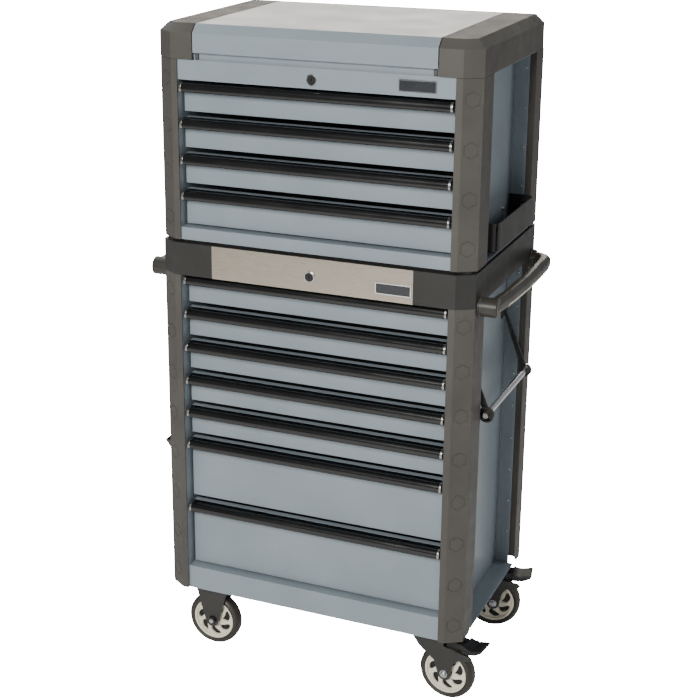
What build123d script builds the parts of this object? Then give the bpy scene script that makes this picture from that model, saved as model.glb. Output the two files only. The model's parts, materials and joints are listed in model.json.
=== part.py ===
from build123d import *
import os
from math import atan2, cos, degrees, hypot, radians, sin

# Rolling tool chest: a seven-drawer roller cabinet with a four-drawer, lidded top chest.
# Millimetres. X is the width (right positive), -Y is the front, +Z is up.
# The origin is on the floor, under the middle of the cabinet.

# ---------------------------------------------------------------- driving dimensions
WIDTH = 686.0                # over the side faces of the corner posts
CABINET_DEPTH = 458.0
CHEST_STEP = 10.0            # the chest is this much less deep than the cabinet
CHAMFER_X, CHAMFER_Y = 35.0, 22.5    # bevelled corner of the front posts and the parts above
REAR_BEVEL = 12.0            # the smaller bevel of their rear corners
REAR_POST_BEVEL = 6.0        # and of the rear posts
REAR_REVEAL = 14.0           # rear returns stop this far inside the face of the posts
OPENING_WIDTH = 589.6        # clear width between the steel side panels

FORK_HEADROOM = 35.0         # tyre top to the underside of the cabinet
KICK_HEIGHT = 54.0
DRAWER_PITCH = 75.0          # nose top to nose top of two shallow drawers
CABINET_UNITS = (1, 1, 1, 1, 1, 2, 2)    # drawer heights, top to bottom, in pitches
CHEST_UNITS = (1, 1, 1, 1)
COLLAR_HEIGHT = 70.0
MAT_THICKNESS = 5.5
MAT_INSET_X, MAT_INSET_Y, MAT_ROUND = 8.0, 12.0, 12.0
CHEST_SILL_HEIGHT = 26.5
KICK_INSET, SILL_INSET, BACK_INSET = 6.0, 4.0, 6.0   # plates behind the outer corners
KICK_LEDGE, SILL_LEDGE, TOP_LEDGE = 38.0, 36.0, 14.0
TOP_RAIL_HEIGHT = 41.0
LID_HEIGHT = 71.5            # from the lid's joint line to its top
LID_FRONT_GAP = 15.0         # open strip under the lid's front panel
LID_BEVEL = 17.5

SHEET = 1.2                  # carcass and drawer sheet
PLATE = 1.5                  # floors, sills and fronts
PLASTIC = 3.0                # wall of the plastic covers
SEAM = 0.1                   # between two plates of one assembly
LID_JOINT = 0.5              # between the lid and the chest
DRAWER_SIDE_GAP = 4.3        # drawer front to side panel
NOSE_GAP = 11.5              # drawer bottom to the nose of the next drawer
SILL_GAP = 4.0               # last drawer's front to the sill
TOP_GAP = 2.0                # first cabinet drawer to the collar

FACE_RECESS = 27.5           # drawer front behind the cabinet's front
FRONT_THICKNESS = 15.0       # folded drawer front
TRAY_BACK_INSET = 29.0       # rear of the drawer trays, in from the cabinet's back
TRAY_LIFT = 6.0              # tray floor above the bottom of its front
TRAY_TOP_DROP = 14.0         # tray walls below the top of its front
SLIDE_WIDTH = 12.7           # a pair of ball-bearing rails
RAIL_HEIGHT = 28.4           # inner rail
RAIL_CLEARANCE = 0.3         # inner rail to outer rail, above and below
RAIL_GAP = 1.0               # inner rail to the web of the outer rail
RAIL_LIP, RAIL_TAIL = 3.0, 4.0       # outer rail from the tray's side, and behind the tray
LARGE_RAIL_LIFT = 25.0       # rail centre above the floor of a deep drawer
DRAWER_TRAVEL = 300.0        # used by the rail overlap printed at the end

PULL_HEIGHT = 21.5
PULL_DEPTH = 25.0
PULL_WALL = 2.5
PULL_LIP = 6.0               # turned-in lower edge of the pull
PULL_RADIUS = 9.0
PULL_CAP = 5.0               # end cap

POST_SIDE = 85.0             # front post, along the side
REAR_POST_SIDE = 51.0
CHEST_REAR_POST_SIDE = 58.0
POST_FOOT_CUT = 20.0         # bevel at the foot of the cabinet posts
STRIP_HALF_WIDTH = 221.0     # steel strip on the collar
BADGE_WIDTH, BADGE_HEIGHT, BADGE_THICKNESS = 76.0, 24.0, 2.0
BADGE_ROUND, BADGE_MARGIN = 4.0, 3.0
CHEST_BADGE_RISE = 6.0       # badge centre above the chest's lock
CAP_INNER_X = 260.0          # where the lid's end caps begin
TILL_SIDE_GAP = 4.8          # till wall to the side panels
TILL_INSET_Y = 10.0          # till wall, in from the chest's front and back
TILL_RISE = 20.0             # till wall above the chest's top edge
TILL_LIFT = 3.0              # till floor above the lower edge of the top rail
BUMPER_X = 252.0
BUMPER_HALF, BUMPER_DEPTH, BUMPER_HEIGHT = 4.0, 5.0, 11.0

HINGE_RADIUS = 3.5
HINGE_PIN_RADIUS = 1.5
HINGE_FIT = 0.05
HINGE_X = (-180.0, 180.0)
KNUCKLE = 20.0
LEAF_HEIGHT = 28.0

LOCK_RADIUS = 8.5
LOCK_HEAD_RADIUS = 11.0
LOCK_FIT = 0.05
LOCK_HEAD, LOCK_PROUD = 2.5, 0.2     # head height; its foot above the front face
LOCK_CAM_HALF, LOCK_CAM_REACH, LOCK_CAM = 5.0, 18.0, 2.0
KEYWAY_HALF, KEYWAY_HEIGHT, KEYWAY_DEPTH = 0.6, 4.0, 2.0
CHEST_LOCK_DEPTH, COLLAR_LOCK_DEPTH = 5.0, 15.0
CHEST_LOCK_RISE, COLLAR_LOCK_RISE = 14.5, 27.0

HANDLE_RISE = -2.0           # push handle axis above the lower edge of the collar
HANDLE_FRONT, HANDLE_REAR = 51.0, 32.0   # its ends, in from the cabinet's front and back
FRONT_REACH, REAR_REACH = 27.0, 36.0 # grip axis beyond the post's side face, at its ends
GRIP_BOW = 6.0               # how far the grip bows out between its ends
GRIP_ELBOW = 26.0            # bend radius at the rear
GRIP_WIDTH, GRIP_HEIGHT, GRIP_ROUND = 26.0, 30.0, 11.0
BOSS_RADIUS = 19.5
FRONT_BOSS, REAR_BOSS = 38.0, 10.0

WHEEL_RADIUS, WHEEL_WIDTH = 62.5, 30.0
RIM_RADIUS, RIM_WIDTH, HUB_RADIUS = 48.0, 24.0, 13.0
SPOKE_HOLES, SPOKE_CIRCLE, SPOKE_LEAN = 7, 31.0, 35.0
SPOKE_LONG, SPOKE_SHORT = 9.5, 6.5   # half sizes of a window
TYRE_ROUND, HUB_DEPTH = 8.0, 4.0
AXLE_RADIUS, AXLE_FIT = 6.0, 0.05
CASTER_INSET_X, CASTER_INSET_Y = 83.0, 65.5
CASTER_TRAIL = 41.0
FORK_GAP, FORK_PLATE = 18.0, 3.0
YAW = {"front": -7.5, "rear": 11.0}  # how far each swivel caster stands turned
MOUNT_PLATE = 5.0
MOUNT_HALF_X, MOUNT_HALF_Y = 45.0, 38.0
RACE_RADIUS, RACE_HEIGHT, RACE_GAP = 28.0, 7.6, 0.2
KINGPIN_RADIUS, KINGPIN_EXTRA = 6.0, 4.0
CROWN_HALF, RIGID_CROWN_HALF = 34.0, 40.0
LEG_TOE, LEG_TOE_RISE = 15.0, 4.0    # leg beside the axle, and below it
LEG_SHOULDER, LEG_REACH = 10.0, 24.0 # leg below the crown, and ahead of the axle
AXLE_NUT_RADIUS, AXLE_NUT = 10.5, 6.0
AXLE_STUB = 4.0              # axle beyond each leg
PEDAL_PIVOT_X, PEDAL_CLEAR = 50.0, 9.0   # pivot ahead of the swivel axis, and above the tyre
PEDAL_END = 126.0
PEDAL_PIN_RADIUS = 3.0
PEDAL_SIDE_GAP = 0.5         # pedal arm to the legs
PEDAL_PAD, PEDAL_PAD_HALF = 34.0, 26.0
PEDAL_DROP = 7.0             # underside of the pedal below its pivot

ROLL_PROUD = 9.0             # rod axis beyond the posts
ROLL_DROP, ROLL_ARM_DROP = 248.0, 113.0  # rod and arm foot below the collar
ROLL_ARM_FRONT, ROLL_ARM_REAR = 19.0, 23.0   # arms, in from the posts
ARM_THICKNESS, ARM_WIDTH, ARM_DISC_RADIUS = 5.0, 14.0, 14.0
ROLL_JOURNAL, ROLL_ROD = 5.0, 7.0
ARM_FIT, ARM_FOOT, ARM_FOOT_HALF = 0.3, 2.0, 14.0
ARM_FOOT_BELOW, ARM_FOOT_ABOVE = 18.0, 26.0
ROLL_END = 6.0               # end disc

TRAY_FRONT, TRAY_REAR = 39.0, 2.0    # side tray of the chest, in from its posts
TRAY_RISE, TRAY_HEIGHT = 12.5, 58.0
TRAY_PROUD = 9.0             # beyond the posts
TRAY_SHEET, TRAY_BEND = 3.0, 14.0
POCKET_FOLD = 3.0            # run of the angled pocket wall's edge
POCKET_RISE, POCKET_HEIGHT, POCKET_REACH = 295.0, 35.0, 29.0
POCKET_INSET_FRONT, POCKET_INSET_REAR = 51.0, 39.0

# ---------------------------------------------------------------- worked-out levels
half_w = WIDTH / 2
half_open = OPENING_WIDTH / 2
cab_y = CABINET_DEPTH / 2
chest_y = cab_y - CHEST_STEP / 2
panel_out = half_open + SHEET            # outer face of the recessed side panels
post_in = panel_out + SEAM

cabinet_bottom = 2 * WHEEL_RADIUS + FORK_HEADROOM
kick_top = cabinet_bottom + KICK_HEIGHT
cab_last_bottom = kick_top + SILL_GAP
cab_first_top = cab_last_bottom + sum(CABINET_UNITS) * DRAWER_PITCH + TOP_GAP / 2
collar_bottom = cab_first_top + TOP_GAP
collar_top = collar_bottom + COLLAR_HEIGHT
chest_bottom = collar_top + MAT_THICKNESS
sill_top = chest_bottom + CHEST_SILL_HEIGHT
chest_last_bottom = sill_top + SILL_GAP
chest_first_top = chest_last_bottom + sum(CHEST_UNITS) * DRAWER_PITCH
rail_bottom = chest_first_top + SILL_GAP
chest_top = rail_bottom + TOP_RAIL_HEIGHT
lid_top = chest_top + LID_HEIGHT

face_y = -cab_y + FACE_RECESS            # front surface of the drawer fronts
tray_front = face_y + FRONT_THICKNESS
kick_y = -cab_y + KICK_INSET
sill_y = -chest_y + SILL_INSET
cab_back = cab_y - BACK_INSET
chest_back = chest_y - PLASTIC - SEAM
drawer_half = half_open - DRAWER_SIDE_GAP
tray_half = half_open - SLIDE_WIDTH
tray_back = cab_y - TRAY_BACK_INSET
till_x, till_y = half_open - TILL_SIDE_GAP, chest_y - TILL_INSET_Y

handle_z = collar_bottom + HANDLE_RISE
handle_front_y, handle_rear_y = HANDLE_FRONT - cab_y, cab_y - HANDLE_REAR
caster_x, caster_y = half_w - CASTER_INSET_X, cab_y - CASTER_INSET_Y
pedal_pivot = (PEDAL_PIVOT_X, 2 * WHEEL_RADIUS + PEDAL_CLEAR)
roll_x, roll_z = half_w + ROLL_PROUD, collar_bottom - ROLL_DROP
roll_arm_top = collar_bottom - ROLL_ARM_DROP
roll_arm_y = (POST_SIDE + ROLL_ARM_FRONT - cab_y, cab_y - REAR_POST_SIDE - ROLL_ARM_REAR)
tray_y0, tray_y1 = POST_SIDE + TRAY_FRONT - chest_y, chest_y - CHEST_REAR_POST_SIDE - TRAY_REAR
tray_z0 = chest_bottom + TRAY_RISE
pocket_z = cabinet_bottom + POCKET_RISE
pocket_y0, pocket_y1 = POCKET_INSET_FRONT - cab_y, cab_y - POCKET_INSET_REAR

os.makedirs("parts", exist_ok=True)


# ---------------------------------------------------------------- shared helpers
def write(part, label):
    """Label one finished piece and write it as its own STEP file."""
    part.label = label
    export_step(part, f"parts/{label}.step")


def slab(x, y, z, mode=Mode.ADD):
    """A box in the current part, given as (low, high) along each axis."""
    spans = (x, y, z)
    with Locations(tuple((low + high) / 2 for low, high in spans)):
        Box(*[abs(high - low) for low, high in spans], mode=mode)


def outline(half_x, half_y, inset=0.0):
    """Corner points of the rectangle, bevelled in front, that every top part follows."""
    hx, hy = half_x - inset, half_y - inset
    cx = CHAMFER_X - inset * 0.45
    cy = CHAMFER_Y - inset * 0.25
    right = [(hx - cx, -hy), (hx, -hy + cy), (hx, hy - REAR_BEVEL), (hx - REAR_BEVEL, hy)]
    left = [(-x, y) for x, y in reversed(right)]
    return right + left


def post_points(half_y, side, end):
    """Section of one right-hand post; end is -1 at the front and 1 at the rear."""
    lip = half_open - 0.3
    inner = half_y - side
    cut_x, cut_y = (CHAMFER_X, CHAMFER_Y) if end < 0 else (REAR_POST_BEVEL, REAR_POST_BEVEL)
    points = [
        (lip, half_y), (half_w - cut_x, half_y), (half_w, half_y - cut_y),
        (half_w, inner), (post_in, inner), (post_in, half_y - PLASTIC), (lip, half_y - PLASTIC),
    ]
    return [(x, end * y) for x, y in points]


# ---------------------------------------------------------------- corner posts
def posts(half_y, rear_side, z0, z1, foot_cut):
    with BuildPart() as made:
        for end, side in ((-1, POST_SIDE), (1, rear_side)):
            with BuildSketch(Plane.XY.offset(z0)):
                with BuildLine():
                    Polyline(*post_points(half_y, side, end), close=True)
                make_face()
                offset(amount=-PLASTIC, mode=Mode.SUBTRACT)
            extrude(amount=z1 - z0)
            if foot_cut:
                inner = end * (half_y - side)
                with BuildSketch(Plane.YZ.offset(post_in - 1)):
                    with BuildLine():
                        Polyline(
                            (inner, z0), (inner + end * foot_cut, z0), (inner, z0 + foot_cut),
                            close=True,
                        )
                    make_face()
                extrude(amount=half_w, mode=Mode.SUBTRACT)
        mirror(about=Plane.YZ)
    return made.part


write(posts(cab_y, REAR_POST_SIDE, cabinet_bottom, collar_bottom, POST_FOOT_CUT), "cabinet_posts")
write(posts(chest_y, CHEST_REAR_POST_SIDE, chest_bottom, chest_top, 0), "chest_posts")


# ---------------------------------------------------------------- carcass sides and backs
def sides(half_y, rear_side, z0, z1):
    """Recessed side panels with their returns and flanges, left and right."""
    front_return = -half_y + POST_SIDE + SEAM
    rear_return = half_y - rear_side - SEAM
    edge = half_y - PLASTIC - SEAM
    between = (front_return + SHEET + SEAM, rear_return - SHEET - SEAM)
    with BuildPart() as made:
        slab((half_open, panel_out), (-edge, edge), (z0, z1 - SEAM))
        slab((post_in, half_w - 2), (front_return, front_return + SHEET), (z0, z1 - SEAM))
        slab((post_in, half_w - REAR_REVEAL), (rear_return - SHEET, rear_return), (z0, z1 - SEAM))
        slab((post_in, half_w - 2), between, (z0, z0 + PLATE))
        slab((post_in, half_w - 2), between, (z1 - PLATE - SEAM, z1 - SEAM))
        mirror(about=Plane.YZ)
    return made.part


write(sides(cab_y, REAR_POST_SIDE, cabinet_bottom, collar_bottom), "cabinet_sides")
write(sides(chest_y, CHEST_REAR_POST_SIDE, chest_bottom, chest_top), "chest_sides")

inside = half_open - SEAM
with BuildPart() as cabinet_back:
    slab((-inside, inside), (cab_back - SHEET, cab_back), (cabinet_bottom, collar_bottom - SEAM))
write(cabinet_back.part, "cabinet_back")

with BuildPart() as chest_rear:
    slab((-inside, inside), (chest_back - SHEET, chest_back), (chest_bottom, chest_top - SEAM))
write(chest_rear.part, "chest_back")

with BuildPart() as cabinet_floor:
    slab(
        (-inside, inside),
        (kick_y + PLATE + SEAM, cab_back - SHEET - SEAM),
        (cabinet_bottom, cabinet_bottom + PLATE),
    )
write(cabinet_floor.part, "cabinet_floor")

with BuildPart() as chest_floor:
    slab(
        (-inside, inside),
        (sill_y + PLATE + SEAM, chest_back - SHEET - SEAM),
        (chest_bottom, chest_bottom + PLATE),
    )
write(chest_floor.part, "chest_floor")


def front_rail(y, z0, z1, ledge_depth, ledge_at_top):
    """A front plate and the ledge folded back from its upper or lower edge."""
    slab((-inside, inside), (y, y + PLATE), (z0, z1))
    ledge = (z1 - PLATE, z1) if ledge_at_top else (z0, z0 + PLATE)
    slab((-inside, inside), (y + PLATE, y + ledge_depth), ledge)


with BuildPart() as kick_rail:
    front_rail(kick_y, cabinet_bottom, kick_top, KICK_LEDGE, True)
write(kick_rail.part, "cabinet_kick_rail")

chest_lock_z = rail_bottom + CHEST_LOCK_RISE
with BuildPart() as chest_rails:
    front_rail(sill_y, chest_bottom, sill_top, SILL_LEDGE, True)
    front_rail(sill_y, rail_bottom, chest_top - SEAM, TOP_LEDGE, False)
    with Locations(Location((0, sill_y, chest_lock_z), (90, 0, 0))):
        Cylinder(LOCK_RADIUS + LOCK_FIT, 10, mode=Mode.SUBTRACT)
write(chest_rails.part, "chest_front_rails")

# ---------------------------------------------------------------- collar, strip and mat
collar_lock_z = collar_bottom + COLLAR_LOCK_RISE
with BuildPart() as collar:
    with BuildSketch(Plane.XY.offset(collar_bottom)):
        with BuildLine():
            Polyline(*outline(half_w, cab_y), close=True)
        make_face()
    extrude(amount=COLLAR_HEIGHT)
    with BuildSketch(Plane.XY.offset(collar_bottom)):
        with BuildLine():
            Polyline(*outline(half_w, cab_y, inset=PLASTIC), close=True)
        make_face()
    extrude(amount=COLLAR_HEIGHT - PLASTIC, mode=Mode.SUBTRACT)
    slab(
        (-STRIP_HALF_WIDTH - SEAM, STRIP_HALF_WIDTH + SEAM),
        (-cab_y - 1, -cab_y + SHEET),
        (collar_bottom - 1, collar_top + 1),
        mode=Mode.SUBTRACT,
    )
    with Locations(Location((0, -cab_y, collar_lock_z), (90, 0, 0))):
        Cylinder(LOCK_RADIUS + LOCK_FIT, 20, mode=Mode.SUBTRACT)
write(collar.part, "cabinet_collar")

with BuildPart() as strip:
    slab(
        (-STRIP_HALF_WIDTH, STRIP_HALF_WIDTH),
        (-cab_y, -cab_y + SHEET - SEAM),
        (collar_bottom, collar_top),
    )
    with Locations(Location((0, -cab_y, collar_lock_z), (90, 0, 0))):
        Cylinder(LOCK_RADIUS + LOCK_FIT, 20, mode=Mode.SUBTRACT)
write(strip.part, "collar_steel_strip")

with BuildPart() as mat:
    mat_x, mat_y = half_w - MAT_INSET_X, chest_y - MAT_INSET_Y
    slab((-mat_x, mat_x), (-mat_y, mat_y), (collar_top, chest_bottom))
    fillet(mat.edges().filter_by(Axis.Z), MAT_ROUND)
write(mat.part, "worktop_mat")


# ---------------------------------------------------------------- badges
def badge_plates():
    """Plain raised plates with rounded corners, on the collar strip and the chest rail."""
    collar_badge = STRIP_HALF_WIDTH - BADGE_WIDTH / 2 - BADGE_MARGIN
    chest_badge = STRIP_HALF_WIDTH - BADGE_MARGIN
    with BuildPart() as made:
        for x, y, z in (
            (collar_badge, -cab_y, collar_lock_z - 1),
            (chest_badge, sill_y, chest_lock_z + CHEST_BADGE_RISE),
        ):
            with BuildSketch(Plane((x, y - SEAM / 2, z), x_dir=(1, 0, 0), z_dir=(0, -1, 0))):
                RectangleRounded(BADGE_WIDTH, BADGE_HEIGHT, BADGE_ROUND)
            extrude(amount=BADGE_THICKNESS)
    return made.part


write(badge_plates(), "badge_plates")


# ---------------------------------------------------------------- locks
def lock(front_y, z, depth):
    """A key lock that turns in its hole: head, barrel and rear cam."""
    foot = front_y - LOCK_PROUD
    rear = front_y + depth - LOCK_PROUD
    with BuildPart() as made:
        with BuildSketch(Plane((0, foot, z), x_dir=(1, 0, 0), z_dir=(0, -1, 0))):
            Circle(LOCK_HEAD_RADIUS)
        extrude(amount=LOCK_HEAD)
        with BuildSketch(Plane((0, foot, z), x_dir=(1, 0, 0), z_dir=(0, 1, 0))):
            Circle(LOCK_RADIUS)
        extrude(amount=depth)
        slab(
            (-LOCK_CAM_HALF, LOCK_CAM_HALF), (rear - LOCK_CAM, rear),
            (z - LOCK_CAM_HALF, z + LOCK_CAM_REACH),
        )
        slab(
            (-KEYWAY_HALF, KEYWAY_HALF), (foot - LOCK_HEAD - 1, foot - LOCK_HEAD + KEYWAY_DEPTH),
            (z - KEYWAY_HEIGHT, z + KEYWAY_HEIGHT), mode=Mode.SUBTRACT,
        )
    return made.part


write(lock(sill_y, chest_lock_z, CHEST_LOCK_DEPTH), "chest_lock")
write(lock(-cab_y, collar_lock_z, COLLAR_LOCK_DEPTH), "cabinet_lock")

# ---------------------------------------------------------------- till and lid
hinge_y, hinge_z = chest_y + 1.0, chest_top + LID_JOINT / 2

with BuildPart() as till:
    floor_z = rail_bottom + TILL_LIFT
    wall_top = chest_top + TILL_RISE
    wall_in = till_y - SHEET
    slab((-till_x, till_x), (-wall_in, wall_in), (floor_z, floor_z + SHEET))
    for s in (-1, 1):
        slab(
            (s * till_x, s * (till_x + SHEET)),
            (-wall_in, wall_in),
            (floor_z, wall_top),
        )
        slab(
            (-till_x, till_x),
            (s * (wall_in + SEAM), s * (till_y + SEAM)),
            (floor_z, wall_top),
        )
        slab(
            (s * BUMPER_X - BUMPER_HALF, s * BUMPER_X + BUMPER_HALF),
            (-till_y - BUMPER_DEPTH, -till_y - 2 * SEAM),
            (chest_top + 1, chest_top + 1 + BUMPER_HEIGHT),
        )
write(till.part, "chest_till")

with BuildPart() as lid_blank:
    with BuildSketch(Plane.XY.offset(chest_top + LID_JOINT)):
        with BuildLine():
            Polyline(*outline(half_w, chest_y), close=True)
        make_face()
    extrude(amount=LID_HEIGHT - LID_JOINT)
    chamfer(lid_blank.faces().sort_by(Axis.Z)[-1].edges(), LID_BEVEL)
with BuildPart() as lid_hollow:
    with BuildSketch(Plane.XY.offset(chest_top)):
        with BuildLine():
            Polyline(*outline(half_w, chest_y, inset=PLASTIC), close=True)
        make_face()
    extrude(amount=LID_HEIGHT - PLASTIC)
    chamfer(lid_hollow.faces().sort_by(Axis.Z)[-1].edges(), LID_BEVEL)
with BuildPart() as lid_skin:
    add(lid_blank.part)
    add(lid_hollow.part, mode=Mode.SUBTRACT)
    with Locations(Location((0, hinge_y, hinge_z), (0, 90, 0))):
        Cylinder(HINGE_RADIUS + 0.4, WIDTH, mode=Mode.SUBTRACT)

with BuildPart() as lid_shell:
    add(lid_skin.part)
    slab(
        (-CAP_INNER_X + SEAM, CAP_INNER_X - SEAM), (-500, 500), (chest_top, lid_top + 1),
        mode=Mode.INTERSECT,
    )
    slab(
        (-half_w, half_w), (-chest_y - 1, -chest_y + 40), (chest_top, chest_top + LID_FRONT_GAP),
        mode=Mode.SUBTRACT,
    )
write(lid_shell.part, "lid_shell")

with BuildPart() as lid_caps:
    add(lid_skin.part)
    slab(
        (-CAP_INNER_X, CAP_INNER_X), (-500, 500), (chest_top - 1, lid_top + 1),
        mode=Mode.SUBTRACT,
    )
    for s in (-1, 1):
        slab(
            (s * CAP_INNER_X, s * (CAP_INNER_X + PLASTIC)),
            (-chest_y + PLASTIC, -chest_y + PLASTIC + 6),
            (chest_top + LID_JOINT, chest_top + LID_HEIGHT - LID_BEVEL - PLASTIC),
        )
write(lid_caps.part, "lid_end_caps")


# ---------------------------------------------------------------- lid hinges
def hinge(leaf_y, up, knuckles, with_pin):
    """Leaf plates and knuckles on the hinge line; up is 1 for the lid's leaf."""
    with BuildPart() as made:
        for x in HINGE_X:
            low = hinge_z if up > 0 else hinge_z - LEAF_HEIGHT
            reach = HINGE_RADIUS + 0.5
            leaf_z = (low + reach, low + LEAF_HEIGHT) if up > 0 else (low, low + LEAF_HEIGHT - reach)
            slab((x - 1.5 * KNUCKLE, x + 1.5 * KNUCKLE), (leaf_y, leaf_y + PLATE), leaf_z)
            for k in knuckles:
                middle = x + k * KNUCKLE
                span = (middle - KNUCKLE / 2 + 0.2, middle + KNUCKLE / 2 - 0.2)
                slab(span, (leaf_y, leaf_y + PLATE), (min(hinge_z, leaf_z[0]), max(hinge_z, leaf_z[1])))
                with Locations(Location((middle, hinge_y, hinge_z), (0, 90, 0))):
                    Cylinder(HINGE_RADIUS, KNUCKLE - 0.4)
                    Cylinder(HINGE_PIN_RADIUS + HINGE_FIT, KNUCKLE, mode=Mode.SUBTRACT)
        if with_pin:
            for x in HINGE_X:
                with Locations(Location((x, hinge_y, hinge_z), (0, 90, 0))):
                    Cylinder(HINGE_PIN_RADIUS, 3 * KNUCKLE)
    return made.part


write(hinge(chest_back, -1, (-1, 1), True), "hinge_fixed_leaves")
write(hinge(chest_y, 1, (0,), False), "hinge_lid_leaves")


# ---------------------------------------------------------------- drawers
def drawer_levels(units, first_top, last_bottom):
    """Top, bottom and units of each drawer front, from the top down."""
    tops = [first_top - DRAWER_PITCH * sum(units[:i]) for i in range(len(units))]
    bottoms = [top + NOSE_GAP for top in tops[1:]] + [last_bottom]
    return list(zip(tops, bottoms, units))


def rail_height(bottom, top, units):
    """Centre line of a drawer's slides."""
    floor = bottom + TRAY_LIFT
    if units > 1:
        return floor + LARGE_RAIL_LIFT
    return (floor + top - TRAY_TOP_DROP) / 2


def drawer(top, bottom, units):
    """Folded front, tray plates and the inner rails that ride with them."""
    floor = bottom + TRAY_LIFT
    wall_top = top - TRAY_TOP_DROP
    start = tray_front + SEAM
    rail_z = rail_height(bottom, top, units)
    between = (start, tray_back - SHEET - SEAM)
    with BuildPart() as made:
        slab((-drawer_half, drawer_half), (face_y, tray_front), (bottom, top))
        slab(
            (-drawer_half + SHEET, drawer_half - SHEET),
            (face_y + SHEET, tray_front - SHEET),
            (bottom + SHEET, top - SHEET),
            mode=Mode.SUBTRACT,
        )
        slab((-tray_half, tray_half), (start, tray_back), (floor, floor + SHEET))
        slab(
            (-tray_half, tray_half),
            (tray_back - SHEET, tray_back),
            (floor + SHEET + SEAM, wall_top),
        )
        for s in (-1, 1):
            slab(
                (s * (tray_half - SHEET), s * tray_half),
                between,
                (floor + SHEET + SEAM, wall_top),
            )
            slab(
                (s * (tray_half + SEAM), s * (half_open - SHEET - RAIL_GAP)),
                (start, tray_back),
                (rail_z - RAIL_HEIGHT / 2, rail_z + RAIL_HEIGHT / 2),
            )
    return made.part


def pull(top):
    """Full-width pull: a hooked extrusion on the drawer front, capped at both ends."""
    back = face_y - SEAM
    front = back - PULL_DEPTH
    low = top - PULL_HEIGHT
    end = drawer_half - PULL_CAP
    with BuildPart() as made:
        for inset, mode in ((0.0, Mode.ADD), (PULL_WALL, Mode.SUBTRACT)):
            with BuildSketch(Plane.YZ.offset(-end)) as section:
                with Locations(((front + back) / 2, (low + top) / 2)):
                    Rectangle(PULL_DEPTH - 2 * inset, PULL_HEIGHT - 2 * inset)
                nose = section.vertices().group_by(Axis.X)[0].sort_by(Axis.Y)[-1]
                fillet(nose, PULL_RADIUS - inset)
            extrude(amount=2 * end, mode=mode)
        slab(
            (-end, end), (front + PULL_WALL + PULL_LIP, back - PULL_WALL),
            (low - 1, low + PULL_WALL + 1), mode=Mode.SUBTRACT,
        )
        for s in (-1, 1):
            with BuildSketch(Plane.YZ.offset(s * (end + SEAM))) as cap:
                with Locations(((front + back) / 2, (low + top) / 2)):
                    Rectangle(PULL_DEPTH, PULL_HEIGHT)
                fillet(cap.vertices().group_by(Axis.X)[0].sort_by(Axis.Y)[-1], PULL_RADIUS)
            extrude(amount=s * (PULL_CAP - SEAM))
    return made.part


stacks = {
    "cabinet": drawer_levels(CABINET_UNITS, cab_first_top, cab_last_bottom),
    "chest": drawer_levels(CHEST_UNITS, chest_first_top, chest_last_bottom),
}
for stack, levels in stacks.items():
    for number, (top, bottom, units) in enumerate(levels, start=1):
        write(drawer(top, bottom, units), f"{stack}_drawer_{number}")
        write(pull(top), f"{stack}_pull_{number}")

with BuildPart() as runners:
    for levels in stacks.values():
        for top, bottom, units in levels:
            rail_z = rail_height(bottom, top, units)
            reach = RAIL_HEIGHT / 2 + RAIL_CLEARANCE
            along = (tray_front + 1, tray_back + RAIL_TAIL)
            for s in (-1, 1):
                web = (s * (half_open - SHEET), s * (half_open - SEAM))
                slab(web, along, (rail_z - reach - SHEET, rail_z + reach + SHEET))
                for side in (-1, 1):
                    slab(
                        (s * (tray_half + RAIL_LIP), s * (half_open - SHEET - SEAM)), along,
                        (rail_z + side * reach, rail_z + side * (reach + SHEET)),
                    )
write(runners.part, "drawer_runners")

# ---------------------------------------------------------------- push handles
root = half_w + SEAM
front_x, rear_x = half_w + FRONT_REACH, half_w + REAR_REACH
elbow_y = handle_rear_y - GRIP_ELBOW
with BuildPart() as handles:
    with BuildLine(Plane.XY.offset(handle_z)) as route:
        bow = ThreePointArc(
            (front_x, handle_front_y),
            ((front_x + rear_x) / 2 + GRIP_BOW, (handle_front_y + elbow_y) / 2),
            (rear_x, elbow_y),
        )
        leaving = bow % 1
        turn = 180 - degrees(atan2(leaving.Y, leaving.X))
        elbow = JernArc((rear_x, elbow_y), (leaving.X, leaving.Y), GRIP_ELBOW, turn)
        foot_y = (elbow @ 1).Y
        Line(((elbow @ 1).X, foot_y), (root, foot_y))
    with BuildSketch(Plane(route.line @ 0, x_dir=(1, 0, 0), z_dir=route.line % 0)):
        RectangleRounded(GRIP_WIDTH, GRIP_HEIGHT, GRIP_ROUND)
    sweep(path=route.line)
    for y, length in ((handle_front_y, FRONT_BOSS), (foot_y, REAR_BOSS)):
        with Locations(Location((root + length / 2, y, handle_z), (0, 90, 0))):
            Cylinder(BOSS_RADIUS, length)
    mirror(about=Plane.YZ)
write(handles.part, "push_handles")


# ---------------------------------------------------------------- side trays and pocket
def side_trays():
    """Open-topped trays that stand across the recesses of the chest's sides."""
    outer = half_w + TRAY_PROUD
    middle, length = (tray_y0 + tray_y1) / 2, tray_y1 - tray_y0
    with BuildPart() as made:
        with BuildSketch(Plane.XY.offset(tray_z0)) as wall:
            with Locations(((post_in + outer) / 2, middle)):
                Rectangle(outer - post_in, length)
            fillet(wall.vertices().group_by(Axis.X)[-1], TRAY_BEND)
            with Locations(((post_in + outer) / 2 - TRAY_SHEET, middle)):
                Rectangle(outer - post_in, length - 2 * TRAY_SHEET, mode=Mode.SUBTRACT)
        extrude(amount=TRAY_HEIGHT)
        slab(
            (post_in, outer - TRAY_SHEET),
            (tray_y0 + TRAY_SHEET, tray_y1 - TRAY_SHEET),
            (tray_z0, tray_z0 + TRAY_SHEET),
        )
        mirror(about=Plane.YZ)
    return made.part


write(side_trays(), "chest_side_trays")


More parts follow.
